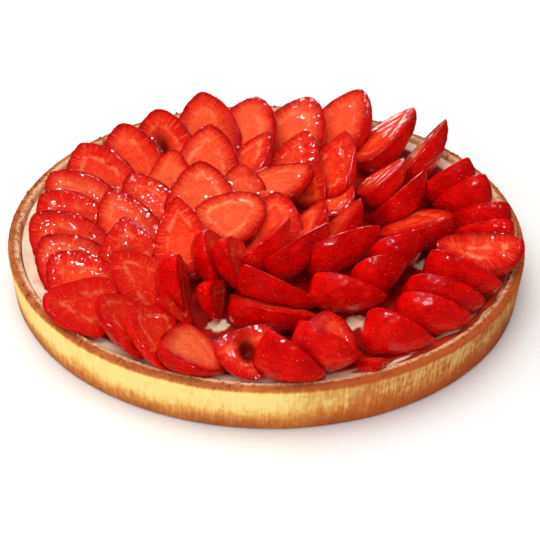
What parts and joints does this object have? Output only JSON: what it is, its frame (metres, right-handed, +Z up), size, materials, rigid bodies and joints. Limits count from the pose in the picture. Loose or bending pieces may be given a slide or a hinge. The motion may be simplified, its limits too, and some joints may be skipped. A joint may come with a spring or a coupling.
{
  "type": "strawberry tart",
  "caption": "Round shallow pastry case filled with cream and covered by overlapping rings of glazed strawberry halves that swirl in to the middle.",
  "frame": {"origin": "centre of the underside of the pastry case, on the surface the tart stands on", "axes": "+Z straight up along the axis of the round case; -Y is the side nearest the viewer, with the whole front of the rim in view; +X is to the viewer's right"},
  "size_m": [0.24, 0.2398, 0.0473],
  "materials": {
    "baked_pastry": "matte baked pastry, golden at the side and brown at the rim",
    "pastry_cream": "smooth, moist, satin",
    "glazed_strawberry": "wet gloss of clear glaze"
  },
  "bodies": {
    "root": {"cream": "pastry_cream", "crust": "baked_pastry", "strawberry_front_01": "glazed_strawberry", "strawberry_front_02": "glazed_strawberry", "strawberry_front_03": "glazed_strawberry", "strawberry_front_04": "glazed_strawberry", "strawberry_front_05": "glazed_strawberry", "strawberry_front_06": "glazed_strawberry", "strawberry_inner_01": "glazed_strawberry", "strawberry_inner_02": "glazed_strawberry", "strawberry_inner_03": "glazed_strawberry", "strawberry_inner_04": "glazed_strawberry", "strawberry_inner_05": "glazed_strawberry", "strawberry_inner_06": "glazed_strawberry", "strawberry_inner_07": "glazed_strawberry", "strawberry_inner_08": "glazed_strawberry", "strawberry_inner_09": "glazed_strawberry", "strawberry_inner_10": "glazed_strawberry", "strawberry_inner_11": "glazed_strawberry", "strawberry_inner_12": "glazed_strawberry", "strawberry_low_01": "glazed_strawberry", "strawberry_low_02": "glazed_strawberry", "strawberry_low_03": "glazed_strawberry", "strawberry_low_04": "glazed_strawberry", "strawberry_low_05": "glazed_strawberry", "strawberry_middle_01": "glazed_strawberry", "strawberry_middle_02": "glazed_strawberry", "strawberry_middle_03": "glazed_strawberry", "strawberry_middle_04": "glazed_strawberry", "strawberry_middle_05": "glazed_strawberry", "strawberry_middle_06": "glazed_strawberry", "strawberry_middle_07": "glazed_strawberry", "strawberry_middle_08": "glazed_strawberry", "strawberry_middle_09": "glazed_strawberry", "strawberry_middle_10": "glazed_strawberry", "strawberry_middle_11": "glazed_strawberry", "strawberry_outer_01": "glazed_strawberry", "strawberry_outer_02": "glazed_strawberry", "strawberry_outer_03": "glazed_strawberry", "strawberry_outer_04": "glazed_strawberry", "strawberry_outer_05": "glazed_strawberry", "strawberry_outer_06": "glazed_strawberry", "strawberry_outer_07": "glazed_strawberry", "strawberry_outer_08": "glazed_strawberry", "strawberry_outer_09": "glazed_strawberry", "strawberry_outer_10": "glazed_strawberry", "strawberry_outer_11": "glazed_strawberry", "strawberry_outer_12": "glazed_strawberry", "strawberry_outer_13": "glazed_strawberry", "strawberry_outer_14": "glazed_strawberry", "strawberry_outer_15": "glazed_strawberry", "strawberry_outer_16": "glazed_strawberry", "strawberry_outer_17": "glazed_strawberry", "strawberry_outer_18": "glazed_strawberry", "strawberry_outer_19": "glazed_strawberry", "strawberry_outer_20": "glazed_strawberry", "strawberry_outer_21": "glazed_strawberry", "strawberry_outer_22": "glazed_strawberry", "strawberry_outer_23": "glazed_strawberry", "strawberry_top_01": "glazed_strawberry"}
  },
  "joints": []
}
